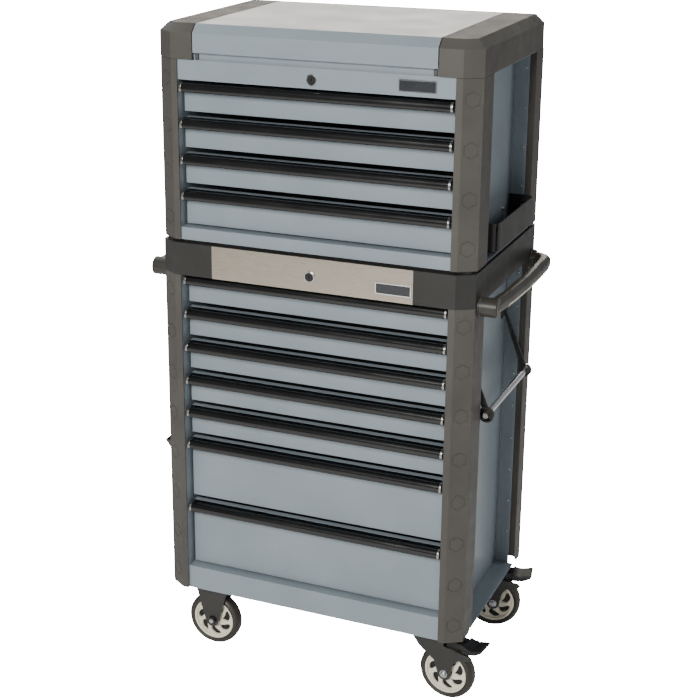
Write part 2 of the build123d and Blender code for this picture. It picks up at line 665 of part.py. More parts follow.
def pocket():
    """A narrow angled pocket across the left side of the cabinet."""
    near = -half_w - SEAM
    far = near - POCKET_REACH
    top_z = pocket_z + POCKET_HEIGHT
    with BuildPart() as made:
        with BuildSketch(Plane.XZ.offset(-pocket_y0)):
            with BuildLine():
                Polyline(
                    (near, pocket_z), (near, pocket_z + POCKET_FOLD), (far + POCKET_FOLD, top_z),
                    (far, top_z), (near - POCKET_FOLD, pocket_z), close=True,
                )
            make_face()
        extrude(amount=-(pocket_y1 - pocket_y0))
        slab((near - SHEET, near), (pocket_y0, pocket_y1), (pocket_z, top_z))
        for y in (pocket_y0, pocket_y1 - PLATE):
            with BuildSketch(Plane.XZ.offset(-y)):
                with BuildLine():
                    Polyline((near, pocket_z), (near, top_z), (far, top_z), close=True)
                make_face()
            extrude(amount=-PLATE)
    return made.part


write(pocket(), "cabinet_side_pocket")

# ---------------------------------------------------------------- paper roll holder
with BuildPart() as roll_arms:
    run, drop = roll_x - post_in, roll_arm_top - roll_z
    length = hypot(run, drop)
    across = (drop / length * ARM_WIDTH / 2, run / length * ARM_WIDTH / 2)
    foot = post_in + ARM_FOOT
    for y in roll_arm_y:
        start = y - ARM_THICKNESS / 2
        with BuildSketch(Plane.XZ.offset(-start)):
            with BuildLine():
                Polyline(
                    (foot, roll_arm_top - across[1]), (roll_x - across[0], roll_z - across[1]),
                    (roll_x + across[0], roll_z + across[1]), (foot, roll_arm_top + 2 * across[0]),
                    close=True,
                )
            make_face()
            with Locations((roll_x, roll_z)):
                Circle(ARM_DISC_RADIUS)
                Circle(ROLL_JOURNAL + AXLE_FIT, mode=Mode.SUBTRACT)
        extrude(amount=-ARM_THICKNESS)
        slab(
            (post_in, foot), (y - ARM_FOOT_HALF, y + ARM_FOOT_HALF),
            (roll_arm_top - ARM_FOOT_BELOW, roll_arm_top + ARM_FOOT_ABOVE),
        )
write(roll_arms.part, "roll_holder_arms")

with BuildPart() as roll_bar:
    inner = [y + s * (ARM_THICKNESS / 2 + ARM_FIT) for y, s in zip(roll_arm_y, (1, -1))]
    outer = [y - s * (ARM_THICKNESS / 2 + ARM_FIT) for y, s in zip(roll_arm_y, (1, -1))]
    for low, high, radius in (
        (inner[0], inner[1], ROLL_ROD),
        (outer[0], outer[1], ROLL_JOURNAL),
        (outer[0] - ROLL_END, outer[0], ARM_DISC_RADIUS),
        (outer[1], outer[1] + ROLL_END, ARM_DISC_RADIUS),
    ):
        with Locations(Location((roll_x, (low + high) / 2, roll_z), (90, 0, 0))):
            Cylinder(radius, high - low)
write(roll_bar.part, "roll_holder_bar")


# ---------------------------------------------------------------- casters
# A caster is made about its own mounting axis, rolling towards +X, then put in place.
def placed(part, x, y, yaw=0.0):
    return Location((x, y, 0), (0, 0, yaw)) * part


def fork(trail, crown_top, crown_half):
    """Crown plate, two legs and the axle bolt of one caster."""
    leg_out = FORK_GAP + FORK_PLATE
    crown_low = crown_top - MOUNT_PLATE
    toe_z = WHEEL_RADIUS - LEG_TOE_RISE
    nose = max(crown_half, trail + LEG_REACH)
    with BuildPart() as made:
        slab((-crown_half, crown_half), (-leg_out, leg_out), (crown_low, crown_top))
        for s in (-1, 1):
            with BuildSketch(Plane.XZ.offset(-s * FORK_GAP)) as leg:
                with BuildLine():
                    Polyline(
                        (-crown_half, crown_top), (-crown_half, crown_low - LEG_SHOULDER),
                        (trail - LEG_TOE, toe_z), (trail + LEG_TOE, toe_z),
                        (nose, crown_low - LEG_SHOULDER), (nose, crown_low),
                        (crown_half, crown_top), close=True,
                    )
                make_face()
                with Locations((trail, WHEEL_RADIUS)):
                    Circle(LEG_TOE)
            extrude(amount=-s * FORK_PLATE)
        with Locations(Location((trail, 0, WHEEL_RADIUS), (90, 0, 0))):
            Cylinder(AXLE_RADIUS, 2 * (leg_out + AXLE_STUB))
        for s in (-1, 1):
            with BuildSketch(Plane.XZ.offset(-s * leg_out)):
                with Locations((trail, WHEEL_RADIUS)):
                    RegularPolygon(AXLE_NUT_RADIUS, 6)
            extrude(amount=-s * AXLE_NUT)
    return made


def rigid_casters():
    shape = fork(0.0, cabinet_bottom, RIGID_CROWN_HALF).part
    with BuildPart() as made:
        for y in (-caster_y, caster_y):
            add(placed(shape, -caster_x, y))
    return made.part


write(rigid_casters(), "rigid_caster_forks")

race_top = cabinet_bottom - MOUNT_PLATE
crown_top = race_top - RACE_HEIGHT - 2 * RACE_GAP
with BuildPart() as swivel_plates:
    for y in (-caster_y, caster_y):
        slab(
            (caster_x - MOUNT_HALF_X, caster_x + MOUNT_HALF_X),
            (y - MOUNT_HALF_Y, y + MOUNT_HALF_Y), (race_top, cabinet_bottom),
        )
        with Locations((caster_x, y, race_top - RACE_HEIGHT / 2)):
            Cylinder(RACE_RADIUS, RACE_HEIGHT)
        with Locations((caster_x, y, crown_top - MOUNT_PLATE / 2)):
            Cylinder(KINGPIN_RADIUS, MOUNT_PLATE + KINGPIN_EXTRA)
write(swivel_plates.part, "swivel_caster_plates")

with BuildPart() as swivel_fork:
    add(fork(CASTER_TRAIL, crown_top, CROWN_HALF).part)
    with Locations((0, 0, crown_top)):
        Cylinder(KINGPIN_RADIUS + AXLE_FIT, 4 * MOUNT_PLATE, mode=Mode.SUBTRACT)
    with Locations(Location((pedal_pivot[0], 0, pedal_pivot[1]), (90, 0, 0))):
        Cylinder(PEDAL_PIN_RADIUS + AXLE_FIT, 4 * FORK_GAP, mode=Mode.SUBTRACT)

with BuildPart() as pedal:
    pedal_half = FORK_GAP - PEDAL_SIDE_GAP
    px, pz = pedal_pivot
    low_z, eye = pz - PEDAL_DROP, PEDAL_PIN_RADIUS + 4
    with BuildSketch(Plane.XZ.offset(-pedal_half)):
        with BuildLine():
            Polyline(
                (px - eye, pz - 5), (PEDAL_END, low_z), (PEDAL_END, pz), (px + 3 * eye, pz + 5),
                (px - eye, pz + 5), close=True,
            )
        make_face()
    extrude(amount=2 * pedal_half)
    slab(
        (PEDAL_END - PEDAL_PAD, PEDAL_END), (-PEDAL_PAD_HALF, PEDAL_PAD_HALF),
        (low_z, low_z + MOUNT_PLATE),
    )
    with Locations(Location((px, 0, pz), (90, 0, 0))):
        Cylinder(PEDAL_PIN_RADIUS, 2 * (FORK_GAP + FORK_PLATE) + 2)


def wheel():
    """Moulded tyre on a rim with swept teardrop windows, turning on its hub bore."""
    with BuildPart() as made:
        with BuildSketch(Plane.XZ.offset(-RIM_WIDTH / 2)):
            Circle(RIM_RADIUS)
            Circle(AXLE_RADIUS + AXLE_FIT, mode=Mode.SUBTRACT)
            with PolarLocations(SPOKE_CIRCLE, SPOKE_HOLES):
                Ellipse(SPOKE_LONG, SPOKE_SHORT, rotation=SPOKE_LEAN, mode=Mode.SUBTRACT)
        extrude(amount=RIM_WIDTH)
        for s in (-1, 1):
            with BuildSketch(Plane.XZ.offset(s * WHEEL_WIDTH / 2)):
                Circle(HUB_RADIUS)
                Circle(AXLE_RADIUS + AXLE_FIT, mode=Mode.SUBTRACT)
            extrude(amount=-s * HUB_DEPTH)
        with BuildSketch(Plane.XZ.offset(-WHEEL_WIDTH / 2)):
            Circle(WHEEL_RADIUS)
            Circle(RIM_RADIUS + SEAM, mode=Mode.SUBTRACT)
        extrude(amount=WHEEL_WIDTH)
        rims = made.edges().filter_by(GeomType.CIRCLE)
        fillet([e for e in rims if abs(e.radius - WHEEL_RADIUS) < SEAM], TYRE_ROUND)
    return made.part


wheel_shape = Location((0, 0, WHEEL_RADIUS)) * wheel()
for end, y in (("front", -caster_y), ("rear", caster_y)):
    write(placed(wheel_shape, -caster_x, y), f"wheel_{end}_left")
    write(placed(Location((CASTER_TRAIL, 0, 0)) * wheel_shape, caster_x, y, YAW[end]), f"wheel_{end}_right")
    write(placed(swivel_fork.part, caster_x, y, YAW[end]), f"swivel_fork_{end}")
    write(placed(pedal.part, caster_x, y, YAW[end]), f"brake_pedal_{end}")

overlap = tray_back - tray_front - DRAWER_TRAVEL
wheel_x = [caster_x + CASTER_TRAIL * cos(radians(a)) for a in YAW.values()]
wheel_y = [CASTER_TRAIL * sin(radians(a)) for a in YAW.values()]
print("levels", collar_bottom, collar_top, chest_bottom, chest_top, lid_top)
print("rail overlap with a drawer open", overlap, "right wheels", wheel_x, wheel_y)
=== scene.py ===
import json
import math

import bmesh
import bpy
from mathutils import Matrix, Vector


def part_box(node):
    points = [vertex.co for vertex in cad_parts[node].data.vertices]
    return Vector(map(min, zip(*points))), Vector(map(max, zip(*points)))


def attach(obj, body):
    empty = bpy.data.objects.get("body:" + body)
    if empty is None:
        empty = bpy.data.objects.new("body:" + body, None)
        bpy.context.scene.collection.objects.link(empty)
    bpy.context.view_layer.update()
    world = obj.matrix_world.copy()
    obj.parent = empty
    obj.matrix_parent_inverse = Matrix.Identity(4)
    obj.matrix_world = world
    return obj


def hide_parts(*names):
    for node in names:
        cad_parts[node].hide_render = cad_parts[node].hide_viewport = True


# Looks of a rolling tool chest. Metres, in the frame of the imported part: X is the width, -Y the front.
MM = 0.001

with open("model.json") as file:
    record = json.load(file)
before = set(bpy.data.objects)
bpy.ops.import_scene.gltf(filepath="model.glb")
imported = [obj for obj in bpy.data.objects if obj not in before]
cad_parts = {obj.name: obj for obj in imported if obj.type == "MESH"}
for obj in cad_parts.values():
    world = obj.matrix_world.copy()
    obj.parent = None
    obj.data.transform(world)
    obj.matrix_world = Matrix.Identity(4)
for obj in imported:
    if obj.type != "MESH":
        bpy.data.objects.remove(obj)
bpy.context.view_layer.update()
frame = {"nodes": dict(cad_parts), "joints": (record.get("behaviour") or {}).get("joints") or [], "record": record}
body_of_node = {n: b for b, names in frame["record"]["behaviour"]["bodies"].items() for n in names}

# ---------------------------------------------------------------- sizes shared by the pieces, in millimetres
BEVEL_X = 325.5              # middle of a bevelled corner
CABINET_BEVEL_Y, CHEST_BEVEL_Y = 217.75, 212.75
POST_SLOPE = Vector((22.5, -35.0, 0.0)).normalized()
CABINET_HEX_Z = [200.0 + 94.3 * i for i in range(8)]
CHEST_HEX_Z = [1017.0 + 96.5 * i for i in range(4)]
DRAWERS = [f"cabinet_drawer_{i}" for i in range(1, 8)] + [f"chest_drawer_{i}" for i in range(1, 5)]
PULLS = [name.replace("drawer", "pull") for name in DRAWERS]
WHEELS = [f"wheel_{end}_{side}" for end in ("front", "rear") for side in ("left", "right")]
DRAWER_FRONT_Y = -180.0      # a drawer's folded front lies before this
DRAWER_RAIL_X = 282.5        # and its rails lie outside this
DRAWER_SHEET = 1.3           # its side walls are thinner than this
BUMPER_SIZE = 15.0           # the till's bumpers are its only solids smaller than this both ways
LID_JOINT_X = 259.0          # the lid's joint beside each end cap, where black sheets paint its shadow
GRIP_Z = 894.0               # centre line of the push handles, with three points of their bow
GRIP_FRONT = Vector((370.0, -178.0, GRIP_Z))
GRIP_MIDDLE = Vector((380.5, -3.5, GRIP_Z))
GRIP_REAR = Vector((379.0, 171.0, GRIP_Z))
GRIP_REAR_BOSS_Y = 196.6
ROLL_X, ROLL_Z = 352.0, 648.0
ROLL_ARMS = ((-125.0, -1, 17.0), (155.0, 1, 13.5))       # y, outward side and disc radius of each arm
CASTER_X, CASTER_Y = 260.0, 163.5
TRAIL = 41.0                 # a swivel caster's axle lies this far behind its kingpin
LEG_OUTSIDE, LEG_INSIDE = 21.0, 18.0                     # the two faces of a fork leg, from the middle
AXLE_Z = 62.5
WINDOWS = 7                  # swept windows in each rim
SHEET_GLOW = 30.0            # strength of the white sheet and room where they are seen directly


# ---------------------------------------------------------------- materials
def linear(hex_colour):
    """An sRGB hex colour as linear RGBA."""
    parts = [int(hex_colour[i:i + 2], 16) / 255 for i in (1, 3, 5)]
    return (*[c / 12.92 if c <= 0.04045 else ((c + 0.055) / 1.055) ** 2.4 for c in parts], 1.0)


def add(tree, kind, inputs=None, **settings):
    """Add one node, set its properties, and fill or link its inputs."""
    made = tree.nodes.new(kind)
    for key, value in settings.items():
        setattr(made, key, value)
    for key, value in (inputs or {}).items():
        socket = made.inputs[key]
        if isinstance(value, bpy.types.NodeSocket):
            tree.links.new(value, socket)
        else:
            socket.default_value = value
    return made


def surface(name):
    """A new material with its tree, its shader and its object coordinates."""
    material = bpy.data.materials.new(name)
    material.use_nodes = True
    tree = material.node_tree
    shader = tree.nodes["Principled BSDF"]
    place = add(tree, "ShaderNodeTexCoord").outputs["Object"]
    return material, tree, shader, place


def stretched(tree, place, scale):
    """Object coordinates scaled differently along each axis."""
    return add(tree, "ShaderNodeMapping", {"Vector": place, "Scale": scale}).outputs["Vector"]


def noise(tree, place, size_mm, detail=2.0, roughness=0.5):
    """Noise whose blotches are about size_mm across."""
    return add(tree, "ShaderNodeTexNoise", {
        "Vector": place, "Scale": 1 / (size_mm * MM), "Detail": detail, "Roughness": roughness,
    }).outputs["Fac"]


def spread(tree, value, low, high):
    """Stretch the middle of a noise value to low..high."""
    return add(tree, "ShaderNodeMapRange", {
        "Value": value, "From Min": 0.3, "From Max": 0.7, "To Min": low, "To Max": high,
    }).outputs["Result"]


def tinted(tree, value, dark, light):
    """A colour between two hex colours."""
    ramp = add(tree, "ShaderNodeValToRGB", {"Fac": value})
    ramp.color_ramp.elements[0].position = 0.3
    ramp.color_ramp.elements[1].position = 0.7
    ramp.color_ramp.elements[0].color = linear(dark)
    ramp.color_ramp.elements[1].color = linear(light)
    return ramp.outputs["Color"]


def bumped(tree, shader, height, depth_mm, strength=1.0):
    """Drive the shader's normal from a height."""
    bump = add(tree, "ShaderNodeBump", {"Height": height, "Distance": depth_mm * MM, "Strength": strength})
    tree.links.new(bump.outputs["Normal"], shader.inputs["Normal"])


def powder_coat(name, dark, light, roughness, gloss=0.15):
    # Powder-coated sheet steel: an even satin colour with the faint orange-peel of baked powder.
    material, tree, shader, place = surface(name)
    peel = noise(tree, place, 2.2, detail=1.0)
    tree.links.new(tinted(tree, noise(tree, place, 160), dark, light), shader.inputs["Base Color"])
    tree.links.new(spread(tree, noise(tree, place, 90), roughness - 0.04, roughness + 0.05),
                   shader.inputs["Roughness"])
    shader.inputs["IOR"].default_value = 1.5
    shader.inputs["Coat Weight"].default_value = gloss
    shader.inputs["Coat Roughness"].default_value = 0.25
    bumped(tree, shader, peel, 0.05, 0.35)
    return material


def moulded_abs(name, dark, light, roughness, grain_mm=0.9):
    # Moulded plastic: spark-eroded grain that scatters the light softly and dulls its sheen.
    material, tree, shader, place = surface(name)
    tree.links.new(tinted(tree, noise(tree, place, 120), dark, light), shader.inputs["Base Color"])
    tree.links.new(spread(tree, noise(tree, place, 40), roughness - 0.05, roughness + 0.05),
                   shader.inputs["Roughness"])
    shader.inputs["IOR"].default_value = 1.53
    shader.inputs["Specular IOR Level"].default_value = 0.3
    bumped(tree, shader, noise(tree, place, grain_mm, detail=3.0), 0.08, 0.5)
    return material


def bare_metal(name, dark, light, roughness, grain, grain_mm):
    # Bare or plated metal: reflections broken up along the grain that rolling or brushing left.
    material, tree, shader, place = surface(name)
    along = stretched(tree, place, grain)
    lines = noise(tree, along, grain_mm, detail=4.0, roughness=0.6)
    tree.links.new(tinted(tree, lines, dark, light), shader.inputs["Base Color"])
    tree.links.new(spread(tree, lines, roughness - 0.05, roughness + 0.08), shader.inputs["Roughness"])
    shader.inputs["Metallic"].default_value = 1.0
    bumped(tree, shader, lines, 0.01, 0.5)
    return material


def rubber(name, dark, light, roughness, grain_mm):
    # Rubber: near-black, broad dull highlights and a fine chalky bloom.
    material, tree, shader, place = surface(name)
    bloom = noise(tree, place, 18, detail=4.0, roughness=0.65)
    tree.links.new(tinted(tree, bloom, dark, light), shader.inputs["Base Color"])
    tree.links.new(spread(tree, bloom, roughness - 0.06, roughness + 0.06), shader.inputs["Roughness"])
    shader.inputs["IOR"].default_value = 1.52
    bumped(tree, shader, noise(tree, place, grain_mm, detail=3.0), 0.1, 0.45)
    return material


BODY = powder_coat("powder_coated_steel_blue_grey", "#707A82", "#77828A", 0.38)
COVERS = moulded_abs("moulded_abs_dark_warm_grey", "#3D3B38", "#45433F", 0.56)
# The collar's plastic is darker than the other covers: painted shade for the shadow the side tray casts on it.
COLLAR_WITH_PAINTED_SHADE = moulded_abs("moulded_abs_collar_painted_shade", "#222221", "#282827", 0.50)
PULL = powder_coat("black_enamelled_pull_extrusion", "#050506", "#08090A", 0.20)
BLACK = powder_coat("black_powder_coated_steel", "#161513", "#1D1C1A", 0.36)
TRAY = powder_coat("side_tray_black_steel", "#0D0D0C", "#121211", 0.52, 0.0)
LOCK_CORE = moulded_abs("moulded_black_lock_core", "#1B1C1E", "#242527", 0.35, 0.6)
GRIP = moulded_abs("moulded_grip_dark_grey", "#2A2925", "#31302B", 0.36, 1.2)
PEDAL = moulded_abs("moulded_nylon_pedal_black", "#0F0F10", "#161617", 0.38, 1.2)
PALE_GRIP_STRIP = moulded_abs("pale_grip_strip", "#C9C4B6", "#D3CEC1", 0.45)
RIM = moulded_abs("moulded_nylon_rim_cream", "#CFC9B6", "#D9D4C3", 0.42)
TYRE = rubber("moulded_tyre_rubber", "#1B1713", "#28231C", 0.50, 1.1)
MAT = rubber("ribbed_mat_rubber", "#070708", "#0C0C0D", 0.80, 0.8)
LINER = rubber("drawer_liner_foam", "#1B1C1D", "#242526", 0.85, 1.4)
BUMPER = rubber("dark_grey_rubber_bumper", "#323333", "#3B3C3C", 0.65, 0.8)
STRIP = bare_metal("brushed_steel_champagne", "#A79E92", "#B9B1A5", 0.30, (0.04, 1.0, 1.0), 0.9)
ZINC = bare_metal("zinc_plated_steel", "#A9ABAE", "#BFC1C3", 0.32, (1.0, 1.0, 1.0), 9.0)
NICKEL = bare_metal("bright_nickel_cap", "#8E8E8C", "#A3A3A1", 0.26, (1.0, 1.0, 0.2), 2.0)
CHROME = bare_metal("polished_chrome", "#D2D3D5", "#DCDDDF", 0.07, (1.0, 1.0, 1.0), 14.0)
FIELD = powder_coat("dark_enamel_badge_field", "#1D2024", "#24282D", 0.28)
FLOOR = powder_coat("studio_floor_paint", "#F1F1F0", "#F4F4F3", 0.60)


# ---------------------------------------------------------------- mesh helpers
def as_object(name, bm, material, smooth_deg=32.0):
    """Turn a bmesh into an object with tidy shading."""
    bmesh.ops.recalc_face_normals(bm, faces=bm.faces)
    limit = math.radians(smooth_deg)
    for face in bm.faces:
        face.smooth = True
    for edge in bm.edges:
        edge.smooth = len(edge.link_faces) == 2 and edge.calc_face_angle(math.pi) < limit
    mesh = bpy.data.meshes.new(name)
    bm.to_mesh(mesh)
    bm.free()
    for layer in ("custom_normal", "UVMap"):
        if layer in mesh.attributes:
            mesh.attributes.remove(mesh.attributes[layer])
    mesh.materials.clear()
    mesh.materials.append(material)
    made = bpy.data.objects.new(name, mesh)
    bpy.context.scene.collection.objects.link(made)
    return made


def bevelled(obj, width_mm, segments=2, angle_deg=28.0):
    """Round an object's sharp edges."""
    bevel = obj.modifiers.new("soft_edges", "BEVEL")
    bevel.width = width_mm * MM
    bevel.segments = segments
    bevel.limit_method = "ANGLE"
    bevel.angle_limit = math.radians(angle_deg)
    bevel.use_clamp_overlap = True
    bevel.harden_normals = True
    return obj


def fitted(obj, body, slot, *nodes):
    """Make a finished piece ride a body and stand for CAD nodes; its slot argument is not used."""
    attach(obj, body)
    if nodes:
        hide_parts(*nodes)
    return obj


def cad_copy(node):
    """A merged copy of a CAD node's mesh, one face per flat side."""
    bm = bmesh.new()
    bm.from_mesh(frame["nodes"][node].data)
    bmesh.ops.remove_doubles(bm, verts=bm.verts, dist=0.00001)
    bmesh.ops.dissolve_limit(bm, angle_limit=math.radians(0.6), verts=bm.verts, edges=bm.edges)
    return bm


def solids(bm):
    """Faces of each separate solid in a bmesh, in no fixed order."""
    left = set(bm.faces)
    while left:
        start = left.pop()
        found, edge_of_search = {start}, [start]
        while edge_of_search:
            face = edge_of_search.pop()
            for edge in face.edges:
                for other in edge.link_faces:
                    if other not in found:
                        found.add(other)
                        edge_of_search.append(other)
        left -= found
        yield found


def extents(faces):
    """Low and high corners of some faces, in millimetres."""
    points = [v.co / MM for f in faces for v in f.verts]
    return [Vector([pick(p[i] for p in points) for i in range(3)]) for pick in (min, max)]


def keep(bm, wanted):
    """Keep only the solids for which wanted(low, high) holds, in millimetres."""
    doomed = []
    for faces in solids(bm):
        if not wanted(*extents(faces)):
            doomed += faces
    bmesh.ops.delete(bm, geom=doomed, context="FACES")
    return bm


def dressed(node, material, slot, width_mm, segments=2, wanted=None, suffix="shown"):
    """A CAD node's own shape with softened edges and its material."""
    bm = cad_copy(node)
    if wanted:
        keep(bm, wanted)
    piece = bevelled(as_object(f"{node}_{suffix}", bm, material), width_mm, segments)
    return fitted(piece, body_of_node[node], slot, node)


def add_box(bm, x, y, z):
    """A box in millimetres, given as (low, high) along each axis."""
    middle = Vector([(a + b) / 2 for a, b in (x, y, z)]) * MM
    size = [abs(b - a) * MM for a, b in (x, y, z)]
    bmesh.ops.create_cube(bm, size=1.0, matrix=Matrix.Translation(middle) @ Matrix.Diagonal((*size, 1.0)))


def boxes(name, spans, material, width_mm):
    """Bevelled boxes in one object."""
    bm = bmesh.new()
    for x, y, z in spans:
        add_box(bm, x, y, z)
    return bevelled(as_object(name, bm, material), width_mm)


def frame_along(origin, axis):
    """A matrix that puts local Z along axis at origin, both in millimetres."""
    turn = Vector(axis).to_track_quat("Z", "Y").to_matrix().to_4x4()
    return Matrix.Translation(Vector(origin) * MM) @ turn


def lathe(bm, profile, matrix, steps=64, closed=True):
    """Turn a (radius, height) profile in millimetres about the local Z of matrix."""
    rings = []
    for i in range(steps):
        a = 2 * math.pi * i / steps
        rings.append([
            bm.verts.new(matrix @ Vector((r * math.cos(a), r * math.sin(a), h)))
            for r, h in [(p[0] * MM, p[1] * MM) for p in profile]
        ])
    count = len(profile)
    for i in range(steps):
        here, there = rings[i], rings[(i + 1) % steps]
        for j in range(count if closed else count - 1):
            k = (j + 1) % count
            bm.faces.new((here[j], there[j], there[k], here[k]))
    bmesh.ops.remove_doubles(bm, verts=[v for ring in rings for v in ring], dist=0.000002)


def sweep(bm, path, section):
    """Carry a closed (side, height) section in millimetres along a level path, and close its ends."""
    up = Vector((0, 0, 1))
    rings = []
    for i, point in enumerate(path):
        ahead = path[min(i + 1, len(path) - 1)] - path[max(i - 1, 0)]
        side = ahead.cross(up).normalized()
        rings.append([bm.verts.new((point + side * s + up * h) * MM) for s, h in section])
    count = len(section)
    for here, there in zip(rings, rings[1:]):
        for j in range(count):
            k = (j + 1) % count
            bm.faces.new((here[j], here[k], there[k], there[j]))
    bm.faces.new(rings[0])
    bm.faces.new(list(reversed(rings[-1])))


# ---------------------------------------------------------------- repeated small parts
def group_with(name, sockets):
    """A Geometry Nodes tree with named inputs, its input node and its output node."""
    tree = bpy.data.node_groups.new(name, "GeometryNodeTree")
    tree.interface.new_socket("Geometry", in_out="INPUT", socket_type="NodeSocketGeometry")
    tree.interface.new_socket("Geometry", in_out="OUTPUT", socket_type="NodeSocketGeometry")
    for label, kind in sockets:
        tree.interface.new_socket(label, in_out="INPUT", socket_type=kind)
    return tree, add(tree, "NodeGroupInput"), add(tree, "NodeGroupOutput")


def finish_group(tree, given, taken, instances):
    """Make instances real and give them their material."""
    real = add(tree, "GeometryNodeRealizeInstances", {"Geometry": instances})
    dressed_up = add(tree, "GeometryNodeSetMaterial", {
        "Geometry": real.outputs["Geometry"], "Material": given.outputs["Material"],
    })
    tree.links.new(dressed_up.outputs["Geometry"], taken.inputs["Geometry"])
    return tree


def fastener_tree():
    """A head with a given number of sides at every point, standing along the point's normal."""
    tree, given, taken = group_with("fasteners", (
        ("Sides", "NodeSocketInt"), ("Foot Radius", "NodeSocketFloat"), ("Top Radius", "NodeSocketFloat"),
        ("Height", "NodeSocketFloat"), ("Material", "NodeSocketMaterial"),
    ))
    head = add(tree, "GeometryNodeMeshCone", {
        "Vertices": given.outputs["Sides"], "Radius Bottom": given.outputs["Foot Radius"],
        "Radius Top": given.outputs["Top Radius"], "Depth": given.outputs["Height"],
    })
    facing = add(tree, "GeometryNodeInputNamedAttribute", {"Name": "facing"}, data_type="FLOAT_VECTOR")
    stand = add(tree, "FunctionNodeAlignRotationToVector", {"Vector": facing.outputs["Attribute"]}, axis="Z")
    placed = add(tree, "GeometryNodeInstanceOnPoints", {
        "Points": given.outputs["Geometry"], "Instance": head.outputs["Mesh"],
        "Rotation": stand.outputs["Rotation"],
    })
    return finish_group(tree, given, taken, placed.outputs["Instances"])


def rib_tree():
    """Equal bars side by side, in a straight row."""
    tree, given, taken = group_with("ribs", (
        ("Count", "NodeSocketInt"), ("Start", "NodeSocketVector"), ("Step", "NodeSocketVector"),
        ("Size", "NodeSocketVector"), ("Material", "NodeSocketMaterial"),
    ))
    row = add(tree, "GeometryNodeMeshLine", {
        "Count": given.outputs["Count"], "Start Location": given.outputs["Start"],
        "Offset": given.outputs["Step"],
    })
    bar = add(tree, "GeometryNodeMeshCube", {"Size": given.outputs["Size"]})
    placed = add(tree, "GeometryNodeInstanceOnPoints", {
        "Points": row.outputs["Mesh"], "Instance": bar.outputs["Mesh"],
    })
    both = add(tree, "GeometryNodeJoinGeometry")
    tree.links.new(placed.outputs["Instances"], both.inputs["Geometry"])
    tree.links.new(given.outputs["Geometry"], both.inputs["Geometry"])
    return finish_group(tree, given, taken, both.outputs["Geometry"])


FASTENERS, RIBS = fastener_tree(), rib_tree()


def grown(name, tree, seed, values):
    """Run a Geometry Nodes tree on a seed mesh and keep the result as a plain object."""
    start = bpy.data.objects.new(name + "_seed", seed)
    bpy.context.scene.collection.objects.link(start)
    modifier = start.modifiers.new("grow", "NODES")
    modifier.node_group = tree
    for item in tree.interface.items_tree:
        if item.in_out == "INPUT" and item.name in values:
            modifier[item.identifier] = values[item.name]
    bpy.context.view_layer.update()
    ready = start.evaluated_get(bpy.context.evaluated_depsgraph_get())
    mesh = bpy.data.meshes.new_from_object(ready)
    mesh.name = name
    made = bpy.data.objects.new(name, mesh)
    bpy.context.scene.collection.objects.link(made)
    bpy.data.objects.remove(start)
    return made


def fasteners(name, places, material, radius, height, sides, top):
    """Heads standing at (point, direction) places, in millimetres."""
    seed = bpy.data.meshes.new(name + "_points")
    seed.from_pydata([Vector(p) * MM for p, _ in places], [], [])
    facing = seed.attributes.new("facing", "FLOAT_VECTOR", "POINT")
    for item, (_, direction) in zip(facing.data, places):
        item.vector = Vector(direction).normalized()
    return grown(name, FASTENERS, seed, {
        "Sides": sides, "Foot Radius": radius * MM, "Top Radius": top * MM, "Height": height * MM,
        "Material": material,
    })


def ribbed(name, count, start, step, size, material, base=None):
    """A row of ribs in millimetres, joined to an optional base box."""
    seed = bpy.data.meshes.new(name + "_base")
    if base:
        bm = bmesh.new()
        add_box(bm, *base)
        bm.to_mesh(seed)
        bm.free()
    return grown(name, RIBS, seed, {
        "Count": count, "Start": Vector(start) * MM, "Step": Vector(step) * MM,
        "Size": Vector(size) * MM, "Material": material,
    })


def cut(obj, cutter):
    """Cut one object out of another for good."""
    boolean = obj.modifiers.new("cut", "BOOLEAN")
    boolean.object = cutter
    boolean.solver = "EXACT"
    bpy.context.view_layer.update()
    ready = obj.evaluated_get(bpy.context.evaluated_depsgraph_get())
    mesh = bpy.data.meshes.new_from_object(ready)
    obj.modifiers.remove(boolean)
    obj.data = mesh
    bpy.data.objects.remove(cutter)
    return obj


# ---------------------------------------------------------------- steel shell
for node in ("cabinet_sides", "chest_sides", "cabinet_floor", "chest_floor"):
    dressed(node, BODY, "body_steel", 0.5)
dressed("chest_till", BODY, "body_steel", 0.5, 2,
        lambda lo, hi: max(hi.z - lo.z, hi.x - lo.x) > BUMPER_SIZE, "tray")
dressed("chest_till", BUMPER, "mat_rubber", 1.2, 3,
        lambda lo, hi: max(hi.z - lo.z, hi.x - lo.x) < BUMPER_SIZE, "bumpers")
for node in ("cabinet_kick_rail", "chest_front_rails"):
    dressed(node, BODY, "body_steel", 1.0)
for node in ("cabinet_back", "chest_back"):
    dressed(node, BODY, "body_steel", 0.6)
for name in DRAWERS:
    # The folded front is the thick solid; the tray and its inner rails are thinner sheet.
    dressed(name, BODY, "body_steel", 1.4, 3, lambda lo, hi: hi.y < DRAWER_FRONT_Y, "front")
    dressed(name, BODY, "body_steel", 0.4, 1,
            lambda lo, hi: hi.y > DRAWER_FRONT_Y and hi.x - lo.x > DRAWER_SHEET
            and max(abs(lo.x), abs(hi.x)) < DRAWER_RAIL_X, "tray")
    dressed(name, BODY, "body_steel", 0.4, 1,
            lambda lo, hi: hi.y > DRAWER_FRONT_Y and hi.x - lo.x < DRAWER_SHEET, "tray_walls")
    dressed(name, ZINC, "zinc_steel", 0.6, 1,
            lambda lo, hi: hi.y > DRAWER_FRONT_Y and max(abs(lo.x), abs(hi.x)) > DRAWER_RAIL_X, "rails")
dressed("drawer_runners", ZINC, "zinc_steel", 0.3, 1)

# ---------------------------------------------------------------- pulls
def bend(centre, radius, start_deg, end_deg, steps=8):
    """Points of a round corner in a section."""
    turns = [math.radians(start_deg + (end_deg - start_deg) * i / steps) for i in range(steps + 1)]
    return [(centre[0] + radius * math.cos(t), centre[1] + radius * math.sin(t)) for t in turns]


